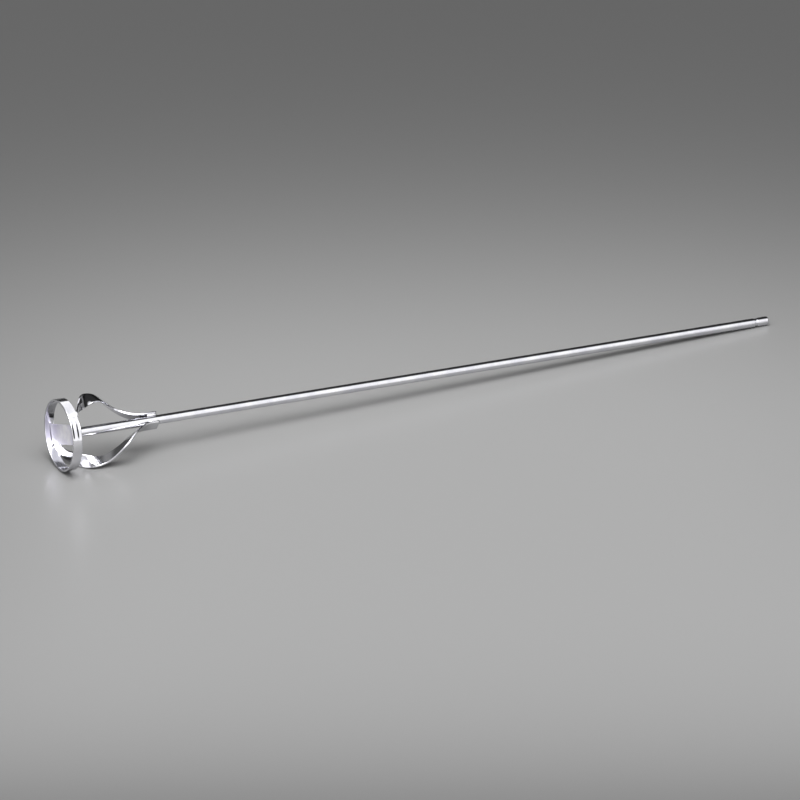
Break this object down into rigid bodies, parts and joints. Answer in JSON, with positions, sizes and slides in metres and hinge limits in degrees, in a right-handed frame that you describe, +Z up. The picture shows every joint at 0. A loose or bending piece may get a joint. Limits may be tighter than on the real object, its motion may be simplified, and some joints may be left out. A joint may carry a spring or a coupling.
{
  "type": "mortar mixing paddle",
  "caption": "Drill-driven mortar mixing paddle: slim round shaft with a necked chuck shank and a ring-ended stirring head of helical blades.",
  "frame": {"origin": "bottom centre of the bounding box, on the floor the tool lies on", "axes": "+Z up; +X along the tool from the stirring head towards the shank; +Y to the head's far side"},
  "size_m": [0.7008, 0.062, 0.0632],
  "materials": {
    "shaft": "bright zinc plated drawn bar",
    "ring": "bright zinc plated strip",
    "plate": "bright zinc plated strip, faint lilac tint",
    "blade": "bright zinc plated strip",
    "weld": "rippled weld bead, plated over"
  },
  "bodies": {
    "root": {"shaft": "shaft", "ring_band": "ring", "cross_plate": "plate", "blade_a": "blade", "blade_b": "blade", "ring_seam_weld": "weld", "shaft_weld": "weld", "plate_weld_a": "weld", "plate_weld_b": "weld", "blade_weld_a": "weld", "blade_weld_b": "weld", "tab_weld_upper_a": "weld", "tab_weld_upper_b": "weld", "tab_weld_lower_a": "weld", "tab_weld_lower_b": "weld"}
  },
  "joints": []
}
